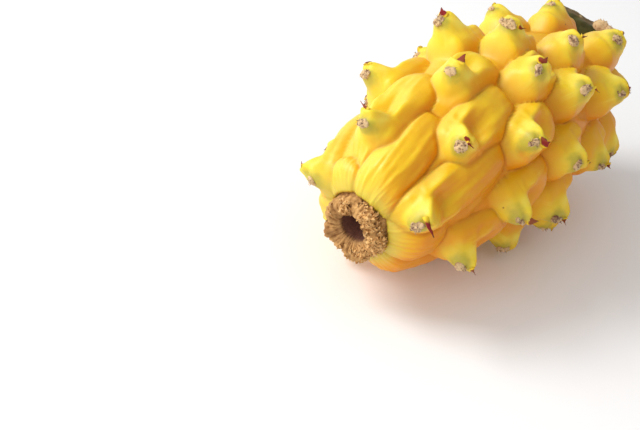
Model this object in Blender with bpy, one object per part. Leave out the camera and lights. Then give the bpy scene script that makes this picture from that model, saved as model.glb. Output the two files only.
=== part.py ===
# A ripe yellow dragon fruit, picked with a scrap of the plant's stem still on it, lying on its side.
# The fruit grew as one piece: a soft egg covered with tubercles in golden-angle spirals. The dried
# remnant of the flower sits in a shallow recess at one end and the scrap of stem at the other.
# Metres, +Z up. The fruit's long axis runs along X, with the flower end at -X.

import math

import bmesh
import bpy
import numpy as np
from mathutils import Matrix, Vector

# Driving dimensions: the skin between the tubercles, as a turned profile round the long axis
CROWN_X = -0.0525
STEM_X = 0.0665
CROWN_RADIUS = 0.0098
WIDE_RADIUS = 0.0252
STEM_RADIUS = 0.0045
CROWN_FULLNESS = 1.41
STEM_FULLNESS = 1.75
CROWN_DROOP = 0.0048
RECESS_DEPTH = 0.004

# The spiral rule: each tubercle turns by the golden angle and claims the same area of skin.
# The first few start under the dried flower, so only their pillows show and they have no nose.
GOLDEN_ANGLE = math.radians(137.508)
FIRST_ANGLE = math.radians(83.0)
FIRST_TUBERCLE = -9
FIRST_NOSE = -3
LAST_TUBERCLE = 46
SKIN_EACH = 0.000355
SKIN_BEFORE = 4.03
TWIST_PER_METRE = math.radians(-250)
GROWTH_SEED = 7
# Tubercles that grew off the rule: along the fruit in millimetres, and round it in degrees
STRAYS = {
    -2: (-2, -10), 0: (-1, 0), 1: (0, -12), 2: (9, -5), 3: (0, -3), 5: (4, 1), 6: (3, 0), 8: (0, -2),
    9: (14, 0), 11: (-2, -4), 13: (6, 0), 14: (7, 0), 16: (0, 2), 19: (-4, 0), 21: (-4, 7),
    22: (-2, 2), 24: (-6, 1), 26: (9, 0), 29: (-6, 10), 32: (-4, -5), 34: (3, 3),
}
# Tubercles that stayed small or grew large, as shares of the usual size
ODD_SIZES = {-3: 0.80, 4: 0.80, 10: 0.45, 13: 1.10, 18: 0.50, 22: 1.20}
# The others vary by chance, up to this much: millimetres along, degrees round, and shares of size
WANDER_ALONG = 1.2
WANDER_ROUND = 2.5
SIZE_SPREAD = 0.09
LENGTH_SPREAD = 0.10
WIDTH_SPREAD = 0.07
SKEW_SPREAD = 0.036

# A tubercle's sizes change from the flower end (0) to the stem end (1)
STAGES = (0.0, 0.15, 0.3, 0.5, 0.8, 1.0)
PILLOW_LENGTH = (0.0330, 0.0250, 0.0170, 0.0112, 0.0100, 0.0085)
PILLOW_HALF_WIDTH = (0.0074, 0.0078, 0.0073, 0.0071, 0.0073, 0.0068)
PILLOW_HEIGHT = (0.0054, 0.0062, 0.0070, 0.0074, 0.0074, 0.0048)
KEEL_LENGTH = (0.0140, 0.0210, 0.0200, 0.0200, 0.0200, 0.0150)
KEEL_SHARE = (0.60, 0.36, 0.30, 0.28, 0.28, 0.30)
WALL_START = (-0.0110, -0.0095, -0.0090, -0.0115, -0.0120, -0.0100)
WALL_END = (0.0010, 0.0010, 0.0005, -0.0025, -0.0035, -0.0030)
NOSE_HEIGHT = (0.0036, 0.0037, 0.0034, 0.0030, 0.0026, 0.0020)
NOSE_HALF_WIDTH = (0.0042, 0.0045, 0.0048, 0.0051, 0.0053, 0.0050)
NOSE_LEAN = (0.45, 0.45, 0.42, 0.35, 0.22, 0.10)

# Its shape: a low keel that runs ahead, a steep front wall, a rounded cross-section, a back that
# falls a little and then drops off square, and a flat-topped nose
FULL_BEHIND = 0.004
KEEL_TAPER = 1.25
KEEL_RISE = 1.2
SECTION_POWERS = (2.3, 0.55)
BACK_FALL = 0.20
DROP_START = 0.35
DROP_NARROWING = 0.35
NOSE_BEHIND = 0.0018
NOSE_FRONT = 0.0066
NOSE_BACK = 0.0062
NOSE_FLAT = 0.25
CREASE_BLEND = 0.0007

# A low brow behind the pad, whose ends run on as two wings round a shallow trough
BROW_HEIGHT = 0.0008
BROW_BEHIND = 0.0034
BROW_WIDTH = 0.0012
WING_START = 0.0026
WING_SPREAD = 0.14
WING_REACH = (0.0005, 0.0030, 0.0070, 0.0140)
TROUGH_DEPTH = 0.0014
TROUGH_HALF_WIDTH = 0.0017
TROUGH_SPREAD = 0.05
TROUGH_REACH = (0.0040, 0.0065, 0.0085, 0.0160)

# The relief fades towards both openings of the skin
RIM_SHARE = 0.50
CROWN_FADE = 0.0075
STEM_FADE = (0.010, 0.002)

# The mesh of the skin, and the small parts fused to each nose
SKIN_ROWS = 48
SKIN_SIDES = 80
AREOLE_RADIUS = 0.0026
AREOLE_SIDES = 6
AREOLE_PROUD = 0.0007
AREOLE_TOP = 0.62
SUNK = 0.0018
BRACT_LENGTH = 0.0028
BRACT_WIDTH = 0.0032
BRACT_THICKNESS = 0.0014
BRACT_BEHIND = 0.0034
BARE_AT_STEM = 0.010
NOSE_CLEAR = 0.0015

# The dried flower remnant, a rough ring with a blind hollow
GAP = 0.0003
REMNANT_LENGTH = 0.0058
REMNANT_MOUTH_RADIUS = 0.0043
REMNANT_FLOOR = 0.0022
REMNANT_SIDES = 40
REMNANT_LOBES = ((1, 1.3, 0.0009), (2, 2.05, 0.0006), (5, 2.4, 0.0005), (6, -2.2, 0.00045))
REMNANT_FRAYS = ((1, -2.1, 0.0008), (7, 0.0, 0.0005), (11, 1.2, 0.0003))

# The scrap of stem: a three-cornered flap of the flat-sided stem that stands across the stem end on
# a short neck. Its levels, from the bottom up: height, both edges along Y, and thickness.
NECK_RADIUS = 0.0034
NECK_SIDES = 16
NECK_END_X = 0.0712
SCRAP_X = 0.0706
SCRAP_LEAN = 0.03
SCRAP_LEVELS = (
    (-0.0044, -0.0016, 0.0016, 0.0022), (-0.0032, -0.0036, 0.0034, 0.0036),
    (0.0010, -0.0050, 0.0052, 0.0040), (0.0060, -0.0062, 0.0068, 0.0038),
    (0.0100, -0.0068, 0.0083, 0.0034), (0.0128, -0.0070, 0.0098, 0.0030),
    (0.0144, -0.0060, 0.0108, 0.0026), (0.0158, 0.0022, 0.0118, 0.0022),
    (0.0172, 0.0060, 0.0127, 0.0020), (0.0180, 0.0105, 0.0132, 0.0016),
    (0.0183, 0.0124, 0.0133, 0.0010))
SCRAP_MARGIN = 0.0010

# How the fruit lies: three noses touch, and are pressed flat by half a millimetre
REST_ROLL = math.radians(-6.6)
REST_PITCH = math.radians(-2.3)
REST_CENTRE = (-0.00647, 0.0005, 0.0333)


def clear_scene():
    for item in list(bpy.data.objects):
        bpy.data.objects.remove(item)


def turned_profile(count=700):
    """Points of the bare skin's profile, with the length and the skin area up to each."""
    turn = np.cos(np.linspace(0, math.pi / 2, count))
    crown_swell = np.sqrt(1 - turn ** CROWN_FULLNESS)
    stem_swell = np.sqrt(1 - turn[::-1] ** STEM_FULLNESS)
    x = np.concatenate([CROWN_X * turn, STEM_X * turn[::-1][1:]])
    radius = np.concatenate([
        CROWN_RADIUS + (WIDE_RADIUS - CROWN_RADIUS) * crown_swell,
        (STEM_RADIUS + (WIDE_RADIUS - STEM_RADIUS) * stem_swell)[1:]])
    step = np.hypot(np.diff(x), np.diff(radius))
    band = step * math.pi * (radius[1:] + radius[:-1])
    along = np.concatenate([[0], np.cumsum(step)])
    skin = np.concatenate([[0], np.cumsum(band)])
    return x, radius, along, skin


PROFILE_X, PROFILE_RADIUS, PROFILE_ALONG, PROFILE_SKIN = turned_profile()
SKIN_LENGTH = PROFILE_ALONG[-1]
SLOPE_X = np.gradient(PROFILE_X, PROFILE_ALONG)
SLOPE_RADIUS = np.gradient(PROFILE_RADIUS, PROFILE_ALONG)


def ease(low, high, value):
    t = np.clip((value - low) / (high - low), 0, 1)
    return t * t * (3 - 2 * t)


def bell(value):
    return np.exp(-value ** 2)


def plateau(reach, value):
    """Rises from 0 to 1 between the first two values of the reach, and falls between the others."""
    return ease(reach[0], reach[1], value) * (1 - ease(reach[2], reach[3], value))


def soft_max(a, b, blend):
    near = np.clip(blend - np.abs(a - b), 0, None) / blend
    return np.maximum(a, b) + near * near * blend / 4


def grow_tubercles():
    """One entry for each tubercle: where it stands and how large it grew."""
    chance = np.random.default_rng(GROWTH_SEED)
    tubercles = []
    for index in range(FIRST_TUBERCLE, LAST_TUBERCLE + 1):
        claim = (index + SKIN_BEFORE) * SKIN_EACH
        under_flower = min(claim, 0) / (2 * math.pi * CROWN_RADIUS)
        draw = chance.uniform(-1, 1, 6)
        shift, turn = STRAYS.get(index, (WANDER_ALONG * draw[0], WANDER_ROUND * draw[1]))
        along = np.interp(claim, PROFILE_SKIN, PROFILE_ALONG) + under_flower + shift * 0.001
        stage = along / SKIN_LENGTH
        size = (1 + SIZE_SPREAD * draw[2]) * ODD_SIZES.get(index, 1)
        length_share, width_share = 1 + LENGTH_SPREAD * draw[3], 1 + WIDTH_SPREAD * draw[4]
        tubercles.append({
            "along": along,
            "angle": FIRST_ANGLE + GOLDEN_ANGLE * index + math.radians(turn),
            "has_nose": index >= FIRST_NOSE,
            "length": np.interp(stage, STAGES, PILLOW_LENGTH) * length_share,
            "width": np.interp(stage, STAGES, PILLOW_HALF_WIDTH) * width_share,
            "pillow": np.interp(stage, STAGES, PILLOW_HEIGHT) * size,
            "keel": np.interp(stage, STAGES, KEEL_LENGTH),
            "keel_share": np.interp(stage, STAGES, KEEL_SHARE),
            "wall": (np.interp(stage, STAGES, WALL_START), np.interp(stage, STAGES, WALL_END)),
            "nose": np.interp(stage, STAGES, NOSE_HEIGHT) * size * (index >= FIRST_NOSE),
            "side": np.interp(stage, STAGES, NOSE_HALF_WIDTH),
            "lean": np.interp(stage, STAGES, NOSE_LEAN),
            "skew": SKEW_SPREAD * draw[5],
        })
    return tubercles


TUBERCLES = grow_tubercles()


def tubercle_relief(t, along, angle, radius):
    """Height of one tubercle over the bare skin, and how far its nose leans to the flower end."""
    u = along - t["along"]
    turn = angle - t["angle"] - TWIST_PER_METRE * u
    turn = (turn + math.pi) % (2 * math.pi) - math.pi
    v = radius * turn + t["skew"] * u
    grown = np.clip((u + t["keel"]) / (t["keel"] + FULL_BEHIND), 0, 1)
    leaf = np.sin(grown * math.pi / 2)
    drop = np.clip((u / t["length"] - DROP_START) / (1 - DROP_START), 0, 1)
    taper = np.maximum(leaf, 0.01) ** KEEL_TAPER * np.sqrt(1 - DROP_NARROWING * drop ** 4)
    fullness, crest = SECTION_POWERS
    across = np.clip(1 - np.abs(v / (t["width"] * taper)) ** fullness, 0, None) ** crest
    back = (1 - BACK_FALL * np.clip(u / t["length"], 0, 1)) * np.sqrt(1 - drop ** 4)
    rise = t["keel_share"] * leaf ** KEEL_RISE + (1 - t["keel_share"]) * ease(*t["wall"], u)
    pillow = t["pillow"] * rise * back * across
    behind = u - NOSE_BEHIND
    reach = np.where(behind < 0, NOSE_FRONT, NOSE_BACK)
    nose = t["nose"] * (1 - ease(NOSE_FLAT, 1.0, np.hypot(behind / reach, v / t["side"])))
    brow = bell((np.hypot(u, v) - BROW_BEHIND) / BROW_WIDTH) * ease(-0.0008, 0.0018, u)
    wing = bell((np.abs(v) - WING_START - WING_SPREAD * u) / BROW_WIDTH) * plateau(WING_REACH, u)
    spread = np.maximum(TROUGH_HALF_WIDTH + TROUGH_SPREAD * u, 0.001)
    trough = bell(v / spread) * plateau(TROUGH_REACH, u)
    detail = BROW_HEIGHT * np.maximum(brow, 0.8 * wing) - TROUGH_DEPTH * trough
    return pillow + nose + detail * t["has_nose"], t["lean"] * nose


def droop(x, y, z):
    """Bend the flower end down: the axis sags, and each cross-section stays square to it."""
    back = np.minimum(x, 0)
    sag = CROWN_DROOP / CROWN_X ** 2
    slope = np.arctan(-2 * sag * back)
    return np.stack([x - z * np.sin(slope), y + 0 * x, z * np.cos(slope) - sag * back ** 2], -1)


def skin_points(along, angle):
    """Points of the finished skin at a length along the profile and an angle round the axis."""
    radius = np.interp(along, PROFILE_ALONG, PROFILE_RADIUS)
    height = np.zeros(np.broadcast(along, angle).shape)
    lean = np.zeros_like(height)
    for t in TUBERCLES:
        own_height, own_lean = tubercle_relief(t, along, angle, radius)
        height = soft_max(height, own_height, CREASE_BLEND)
        lean = np.maximum(lean, own_lean)
    fade = RIM_SHARE + (1 - RIM_SHARE) * ease(0, CROWN_FADE, along)
    fade = fade * (1 - ease(SKIN_LENGTH - STEM_FADE[0], SKIN_LENGTH - STEM_FADE[1], along))
    slope_x = np.interp(along, PROFILE_ALONG, SLOPE_X)
    slope_radius = np.interp(along, PROFILE_ALONG, SLOPE_RADIUS)
    size = np.hypot(slope_x, slope_radius)
    forward_x, forward_radius = slope_x / size, slope_radius / size
    x = np.interp(along, PROFILE_ALONG, PROFILE_X)
    x = x - fade * (forward_radius * height + forward_x * lean)
    radius = radius + fade * (forward_x * height - forward_radius * lean)
    return droop(x, radius * np.cos(angle), radius * np.sin(angle))


def skin_frame(along, angle):
    """A point on the skin, its outward normal, and the direction to the stem end."""
    step = 0.0009
    around = step / WIDE_RADIUS
    point, ahead, behind, left, right = (
        Vector(skin_points(np.array(along + a), np.array(angle + b)))
        for a, b in ((0, 0), (step, 0), (-step, 0), (0, around), (0, -around)))
    forward = (ahead - behind).normalized()
    normal = (left - right).cross(ahead - behind).normalized()
    return point, normal, forward


def mesh_object(name, points, faces):
    mesh = bpy.data.meshes.new(name)
    mesh.from_pydata([tuple(p) for p in points], [], faces)
    mesh.validate()
    thing = bpy.data.objects.new(name, mesh)
    bpy.context.scene.collection.objects.link(thing)
    return thing


def tube_faces(rows, sides, first_pole, last_pole):
    """Faces of a closed skin of revolution whose rings run from the -X pole to the +X pole."""
    faces = []
    for side in range(sides):
        nxt = (side + 1) % sides
        faces.append((first_pole, nxt, side))
        for row in range(rows - 1):
            a, b = row * sides + side, row * sides + nxt
            faces.append((a, b, b + sides, a + sides))
        end = (rows - 1) * sides
        faces.append((last_pole, end + side, end + nxt))
    return faces


def ring(x, radius, sides):
    angle = np.linspace(0, 2 * math.pi, sides, endpoint=False)
    return droop(x + 0 * angle, radius * np.cos(angle), radius * np.sin(angle))


def make_skin():
    angle = np.linspace(0, 2 * math.pi, SKIN_SIDES, endpoint=False)
    along = np.linspace(0, SKIN_LENGTH, SKIN_ROWS)
    rows = [ring(CROWN_X + RECESS_DEPTH, CROWN_RADIUS, SKIN_SIDES)]
    rows.extend(skin_points(along[:, None], angle[None, :]))
    floor = droop(np.array(CROWN_X + RECESS_DEPTH), np.array(0.0), np.array(0.0))
    points = np.concatenate(rows + [floor[None, :], [[STEM_X, 0, 0]]])
    count = len(rows) * SKIN_SIDES
    return mesh_object("fruit", points, tube_faces(len(rows), SKIN_SIDES, count, count + 1))


def make_areole(point, normal, forward):
    """The low felt pad on a nose: a small many-sided cushion, sunk into the skin."""
    side = normal.cross(forward).normalized()
    front = side.cross(normal)
    points = []
    for radius, height in ((1.0, -SUNK), (1.0, 0.0), (AREOLE_TOP, AREOLE_PROUD)):
        for k in range(AREOLE_SIDES):
            turn = 2 * math.pi * k / AREOLE_SIDES
            flat = front * math.cos(turn) + side * math.sin(turn)
            points.append(point + flat * AREOLE_RADIUS * radius + normal * height)
    faces = [tuple(range(AREOLE_SIDES))[::-1], tuple(range(2 * AREOLE_SIDES, 3 * AREOLE_SIDES))]
    for row in range(2):
        for k in range(AREOLE_SIDES):
            a, b = row * AREOLE_SIDES + k, row * AREOLE_SIDES + (k + 1) % AREOLE_SIDES
            faces.append((a, b, b + AREOLE_SIDES, a + AREOLE_SIDES))
    return mesh_object("areole", points, faces)


def make_bract(point, normal, forward):
    """The pointed scale behind an areole, a thin wedge that stands up and back from the skin."""
    side = normal.cross(forward).normalized()
    tip = point + normal * BRACT_LENGTH * 0.7 + forward * BRACT_LENGTH * 0.5
    root = point - normal * SUNK
    half, thin = side * BRACT_WIDTH / 2, forward * BRACT_THICKNESS / 2
    points = [root - half - thin, root + half - thin, root + thin, tip]
    faces = [(0, 1, 2), (0, 1, 3), (1, 2, 3), (2, 0, 3)]
    return mesh_object("bract", points, faces)


def face_outward(thing):
    work = bmesh.new()
    work.from_mesh(thing.data)
    bmesh.ops.recalc_face_normals(work, faces=work.faces)
    work.to_mesh(thing.data)
    work.free()


def join_by_union(thing, extras):
    """Fuse the extras to the thing with one Boolean union on a collection, and apply it."""
    group = bpy.data.collections.new("growing_on")
    for extra in extras:
        face_outward(extra)
        group.objects.link(extra)
    union = thing.modifiers.new("grow_together", "BOOLEAN")
    union.operation = "UNION"
    union.solver = "EXACT"
    union.operand_type = "COLLECTION"
    union.collection = group
    evaluated = thing.evaluated_get(bpy.context.evaluated_depsgraph_get())
    joined = bpy.data.meshes.new_from_object(evaluated)
    thing.modifiers.remove(union)
    thing.data = joined
    for extra in extras:
        bpy.data.objects.remove(extra)
    bpy.data.collections.remove(group)


def rest_matrix():
    turn = Matrix.Rotation(REST_PITCH, 4, "Y") @ Matrix.Rotation(REST_ROLL, 4, "X")
    return Matrix.Translation(REST_CENTRE) @ turn


def press_flat(thing, matrix):
    """Flatten the noses that the fruit lies on: cut them at the surface and close the cuts."""
    back = matrix.inverted()
    work = bmesh.new()
    work.from_mesh(thing.data)
    up = back.to_3x3() @ Vector((0, 0, 1))
    everything = list(work.verts) + list(work.edges) + list(work.faces)
    bmesh.ops.bisect_plane(
        work, geom=everything, dist=1e-6, plane_co=back @ Vector((0, 0, 0)), plane_no=up,
        clear_inner=True)
    rims = [edge for edge in work.edges if edge.is_boundary]
    bmesh.ops.holes_fill(work, edges=rims, sides=0)
    bmesh.ops.recalc_face_normals(work, faces=work.faces)
    work.to_mesh(thing.data)
    work.free()


def make_fruit(matrix):
    fruit = make_skin()
    extras = []
    for t in TUBERCLES:
        if not t["has_nose"] or t["along"] > SKIN_LENGTH - BARE_AT_STEM:
            continue
        point, normal, forward = skin_frame(t["along"], t["angle"])
        if (matrix @ point).z < NOSE_CLEAR:
            continue
        extras.append(make_areole(point, normal, forward))
        extras.append(make_bract(*skin_frame(t["along"] + BRACT_BEHIND, t["angle"])))
    join_by_union(fruit, extras)
    press_flat(fruit, matrix)
    return fruit


def make_remnant():
    """The dried flower remnant: a plug in the recess that flares into a ragged, hollow ring."""
    mouth = CROWN_X - REMNANT_LENGTH
    plug = CROWN_RADIUS - GAP
    floor = CROWN_X + RECESS_DEPTH - GAP
    outline = (
        (floor, plug - 0.0006, 0.0), (floor - 0.0006, plug, 0.0), (CROWN_X - 0.0002, plug, 0.0),
        (CROWN_X - 0.0020, 0.0089, 0.15), (CROWN_X - 0.0034, 0.0091, 0.5),
        (mouth + 0.0010, 0.0092, 1.0), (mouth + 0.0001, 0.0080, 1.0),
        (mouth + 0.0003, 0.0060, 0.5), (mouth + 0.0011, 0.0047, 0.1),
        (mouth + 0.0026, REMNANT_MOUTH_RADIUS, 0.0), (CROWN_X + REMNANT_FLOOR, 0.0030, 0.0))
    angle = np.linspace(0, 2 * math.pi, REMNANT_SIDES, endpoint=False)
    lobes = sum(size * np.cos(count * angle + start) for count, start, size in REMNANT_LOBES)
    frays = sum(size * np.cos(count * angle + start) for count, start, size in REMNANT_FRAYS)
    rows = []
    for x, radius, rough in outline:
        wavy = radius + rough * lobes
        rows.append(droop(x + rough * frays, wavy * np.cos(angle), wavy * np.sin(angle)))
    poles = [droop(np.array(x), np.array(0.0), np.array(0.0))[None, :]
             for x in (floor, CROWN_X + REMNANT_FLOOR)]
    count = len(rows) * REMNANT_SIDES
    faces = tube_faces(len(rows), REMNANT_SIDES, count, count + 1)
    remnant = mesh_object("dried_crown", np.concatenate(rows + poles), faces)
    face_outward(remnant)
    return remnant


def make_stem_scrap():
    """A flap of the plant's stem, cut off at one side and torn to a point, on a short neck."""
    points = []
    for z, low, high, thickness in SCRAP_LEVELS:
        x, half = SCRAP_X + SCRAP_LEAN * z, thickness / 2
        margin = min(SCRAP_MARGIN, (high - low) / 3)
        points.extend([
            (x, low, z), (x - half, low + margin, z), (x - half, high - margin, z),
            (x, high, z), (x + half, high - margin, z), (x + half, low + margin, z)])
    sides = 6
    faces = [tuple(range(sides)), tuple(range(len(points) - sides, len(points)))[::-1]]
    for row in range(len(SCRAP_LEVELS) - 1):
        for k in range(sides):
            a, b = row * sides + k, row * sides + (k + 1) % sides
            faces.append((a, b, b + sides, a + sides))
    scrap = mesh_object("stem_scrap", points, faces)
    face_outward(scrap)
    neck_rows = ((STEM_X + GAP, 0.0030), (STEM_X + 0.0010, NECK_RADIUS), (NECK_END_X, 0.0030))
    angle = np.linspace(0, 2 * math.pi, NECK_SIDES, endpoint=False)
    rows = [np.stack([x + 0 * angle, r * np.cos(angle), r * np.sin(angle)], -1)
            for x, r in neck_rows]
    poles = [[[x, 0, 0]] for x, _ in (neck_rows[0], neck_rows[-1])]
    count = len(rows) * NECK_SIDES
    faces = tube_faces(len(rows), NECK_SIDES, count, count + 1)
    neck = mesh_object("neck", np.concatenate(rows + poles), faces)
    join_by_union(scrap, [neck])
    return scrap


def finish(thing, color, roughness, sharp_degrees):
    material = bpy.data.materials.new(thing.name + "_finish")
    material.use_nodes = True
    shader = material.node_tree.nodes["Principled BSDF"]
    shader.inputs["Base Color"].default_value = (*color, 1.0)
    shader.inputs["Roughness"].default_value = roughness
    shader.inputs["Metallic"].default_value = 0.0
    thing.data.materials.clear()
    thing.data.materials.append(material)
    thing.data.shade_smooth()
    thing.data.set_sharp_from_angle(angle=math.radians(sharp_degrees))


def main():
    clear_scene()
    matrix = rest_matrix()
    axis = bpy.data.objects.new("fruit_axis", None)
    bpy.context.scene.collection.objects.link(axis)
    axis.matrix_world = matrix
    fruit = make_fruit(matrix)
    remnant = make_remnant()
    scrap = make_stem_scrap()
    for thing in (fruit, remnant, scrap):
        thing.parent = axis
    finish(fruit, (0.72, 0.39, 0.03), 0.42, 60)
    finish(remnant, (0.27, 0.16, 0.07), 0.90, 40)
    finish(scrap, (0.055, 0.065, 0.020), 0.60, 35)


main()
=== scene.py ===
import math
from functools import partialmethod

import bmesh
import bpy
import numpy as np
from mathutils import Matrix, Vector


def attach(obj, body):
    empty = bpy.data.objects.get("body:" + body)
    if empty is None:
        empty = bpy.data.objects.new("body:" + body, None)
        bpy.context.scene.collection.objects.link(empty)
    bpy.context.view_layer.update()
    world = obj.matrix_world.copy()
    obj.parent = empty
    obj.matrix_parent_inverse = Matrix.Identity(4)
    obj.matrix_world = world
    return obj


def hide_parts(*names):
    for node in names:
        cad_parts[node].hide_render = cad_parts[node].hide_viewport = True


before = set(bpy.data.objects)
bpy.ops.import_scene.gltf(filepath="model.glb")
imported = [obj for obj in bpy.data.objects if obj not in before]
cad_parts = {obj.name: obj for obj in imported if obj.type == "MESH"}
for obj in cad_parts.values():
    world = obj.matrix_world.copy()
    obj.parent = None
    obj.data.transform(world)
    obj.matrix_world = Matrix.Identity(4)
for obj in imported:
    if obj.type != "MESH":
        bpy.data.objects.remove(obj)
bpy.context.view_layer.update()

# The peel: one thick waxy skin, grown as a soft egg covered with fleshy tubercles. They stand on a
# golden-angle spiral, and each claims the same area of peel. The peel is made by a geometry tree
# that adds up the tubercles one at a time over a closed grid, in the way that the fruit grew them.
CROWN_X = -0.0525
STEM_X = 0.0665
CROWN_RADIUS = 0.0098
WIDE_RADIUS = 0.0252
STEM_RADIUS = 0.0045
CROWN_FULLNESS = 1.41
STEM_FULLNESS = 1.75
CROWN_DROOP = 0.0048
RECESS_DEPTH = 0.004
GOLDEN_ANGLE = math.radians(137.508)
FIRST_ANGLE = math.radians(83.0)
FIRST_TUBERCLE = -9
FIRST_NOSE = -3
LAST_TUBERCLE = 46
SKIN_EACH = 0.000355
SKIN_BEFORE = 4.03
GROWTH_SEED = 7
# How far chance moves a tubercle (millimetres along, degrees round), sizes it (height, length and
# width) and slants it.
GROWTH_SPREAD = (1.2, 2.5, 0.09, 0.10, 0.07, 0.036)
# Tubercles that grew off the rule: by how many millimetres along the fruit and degrees round it.
STRAYS = {
    -2: (-2, -10), 0: (-1, 0), 1: (0, -12), 2: (9, -5), 3: (0, -3), 5: (4, 1), 6: (3, 0), 8: (0, -2),
    9: (14, 0), 11: (-2, -4), 13: (6, 0), 14: (7, 0), 16: (0, 2), 19: (-4, 0), 21: (-4, 7),
    22: (-2, 2), 24: (-6, 1), 26: (9, 0), 29: (-6, 10), 32: (-4, -5), 34: (3, 3),
}
ODD_SIZES = {-3: 0.80, 4: 0.80, 10: 0.45, 13: 1.10, 18: 0.50, 22: 1.20}
# The tubercles' sizes at these stages, from 0 at the flower end to 1 at the stem end.
STAGES = (0.0, 0.15, 0.3, 0.5, 0.8, 1.0)
STAGE_SIZES = {
    "pillow length": (0.0330, 0.0250, 0.0170, 0.0112, 0.0100, 0.0085),
    "pillow half width": (0.0074, 0.0078, 0.0073, 0.0071, 0.0073, 0.0068),
    "pillow height": (0.0054, 0.0062, 0.0070, 0.0074, 0.0074, 0.0048),
    "nose height": (0.0036, 0.0037, 0.0034, 0.0030, 0.0026, 0.0020),
    "nose half width": (0.0036, 0.0037, 0.0039, 0.0041, 0.0043, 0.0042),
    "nose lean": (0.45, 0.45, 0.42, 0.35, 0.22, 0.10),
    "keel length": (0.0140, 0.0210, 0.0200, 0.0200, 0.0200, 0.0150),
    "keel share": (0.60, 0.36, 0.30, 0.28, 0.28, 0.30),
    "wall start": (-0.0085, -0.0052, -0.0050, -0.0065, -0.0085, -0.0085),
    "wall end": (0.0010, 0.0010, 0.0005, -0.0025, -0.0035, -0.0030),
}
# The folds on a tubercle's back: where they run, and where each rises and dies away behind the nose.
PILLOW_SECTION = (2.3, 0.55)
WING_ASIDE = 0.0026
WING_SPREAD = 0.14
WING_RISES = (0.0005, 0.0030)
WING_ENDS = (0.007, 0.014)
CREST_ENDS = (0.0012, 0.0066)
SADDLE_BEHIND = 0.0062
SADDLE_SIZE = (0.0024, 0.0040)
HOLLOW_HALF_WIDTH = 0.0016
HOLLOW_SPREAD = 0.05
HOLLOW_RISES = (0.0040, 0.0065)
HOLLOW_ENDS = (0.0085, 0.0160)
# Fine ridges, waves and puckers: how fine they are across or round the fruit, and along it.
STREAK_GRAIN = (430.0, 42.0)
STREAK_STEP = 0.37
WAVE_GRAIN = (2.6, 100.0)
PINCH_GRAIN = (9.0, 55.0)
REST_TURN = (math.radians(-6.6), math.radians(-2.3), 0.0)
REST_CENTRE = (-0.00647, 0.0005, 0.0333)
SKIN_ROWS = 330
SKIN_SIDES = 288

LEMON = (0.895, 0.640, 0.014)
# The next four colours paint light and shade into the peel: an orange for painted shade mixed with random
# mottling, a brown for painted shade in the creases, a pale tone for painted highlights with random pale
# patches, and a cream for painted light on the side facing the key light.
ORANGE_MOTTLE_AND_SHADE = (0.83, 0.305, 0.002)
PAINTED_CREASE_SHADE = (0.48, 0.15, 0.004)
PALE_PATCH_AND_HIGHLIGHT = (0.95, 0.80, 0.13)
PAINTED_LIT_SIDE = (0.93, 0.82, 0.20)
PAD_GREEN = (0.76, 0.62, 0.060)
RIM_OLIVE = (0.32, 0.30, 0.048)
COLLAR_GREEN = (0.62, 0.55, 0.085)
BLUSH_RED = (0.80, 0.20, 0.030)
SPECK_BROWN = (0.23, 0.055, 0.010)


def turned_profile(count=700):
    """The bare peel's profile round the long axis, with its length and its area up to each point."""
    turn = np.cos(np.linspace(0, math.pi / 2, count))
    crown_swell = np.sqrt(1 - turn ** CROWN_FULLNESS)
    stem_swell = np.sqrt(1 - turn[::-1] ** STEM_FULLNESS)
    x = np.concatenate([CROWN_X * turn, STEM_X * turn[::-1][1:]])
    radius = np.concatenate([
        CROWN_RADIUS + (WIDE_RADIUS - CROWN_RADIUS) * crown_swell,
        (STEM_RADIUS + (WIDE_RADIUS - STEM_RADIUS) * stem_swell)[1:]])
    step = np.hypot(np.diff(x), np.diff(radius))
    along = np.concatenate([[0], np.cumsum(step)])
    area = np.concatenate([[0], np.cumsum(step * math.pi * (radius[1:] + radius[:-1]))])
    return x, radius, along, area


profile_x, profile_radius, profile_along, profile_area = turned_profile()
peel_length = float(profile_along[-1])


def grow_tubercles():
    """The place and sizes of every tubercle, from the flower end to the stem end."""
    chance = np.random.default_rng(GROWTH_SEED)
    grown = []
    for index in range(FIRST_TUBERCLE, LAST_TUBERCLE + 1):
        claim = (index + SKIN_BEFORE) * SKIN_EACH
        under_flower = min(claim, 0) / (2 * math.pi * CROWN_RADIUS)
        draw = chance.uniform(-1, 1, 6) * GROWTH_SPREAD
        shift, turn = STRAYS.get(index, draw[:2])
        along = np.interp(claim, profile_area, profile_along) + under_flower + shift * 0.001
        stage = along / peel_length
        size = (1 + draw[2]) * ODD_SIZES.get(index, 1)
        angle = FIRST_ANGLE + GOLDEN_ANGLE * index + math.radians(turn)
        has_nose = index >= FIRST_NOSE
        length, half_width, height, nose, nose_half_width, lean, keel, share, start, end = (
            np.interp(stage, STAGES, sizes) for sizes in STAGE_SIZES.values())
        grown.append({
            "index": index,
            "place": (along, angle % (2 * math.pi), draw[5]),
            "pillow": (length * (1 + draw[3]), half_width * (1 + draw[4]), height * size),
            "nose": (nose * size * has_nose, nose_half_width, lean),
            "keel": (keel, index * STREAK_STEP, has_nose),
            "wall": (share, start, end),
        })
    return grown


tubercles = grow_tubercles()


def new_piece(name, data):
    piece = bpy.data.objects.new(name, data)
    bpy.context.scene.collection.objects.link(piece)
    return piece


def mark_points(mesh, label, vectors):
    store = mesh.attributes.new(label, "FLOAT_VECTOR", "POINT")
    store.data.foreach_set("vector", np.array([tuple(v) for v in vectors], "f").ravel())


def loose_points(name, places):
    """One loose point for each place, which carries its directions and sizes as attributes."""
    mesh = bpy.data.meshes.new(name)
    mesh.from_pydata([tuple(place.get("spot", (0, 0, 0))) for place in places], [], [])
    for label in places[0]:
        if label not in ("index", "spot"):
            mark_points(mesh, label, [place[label] for place in places])
    return mesh


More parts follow.
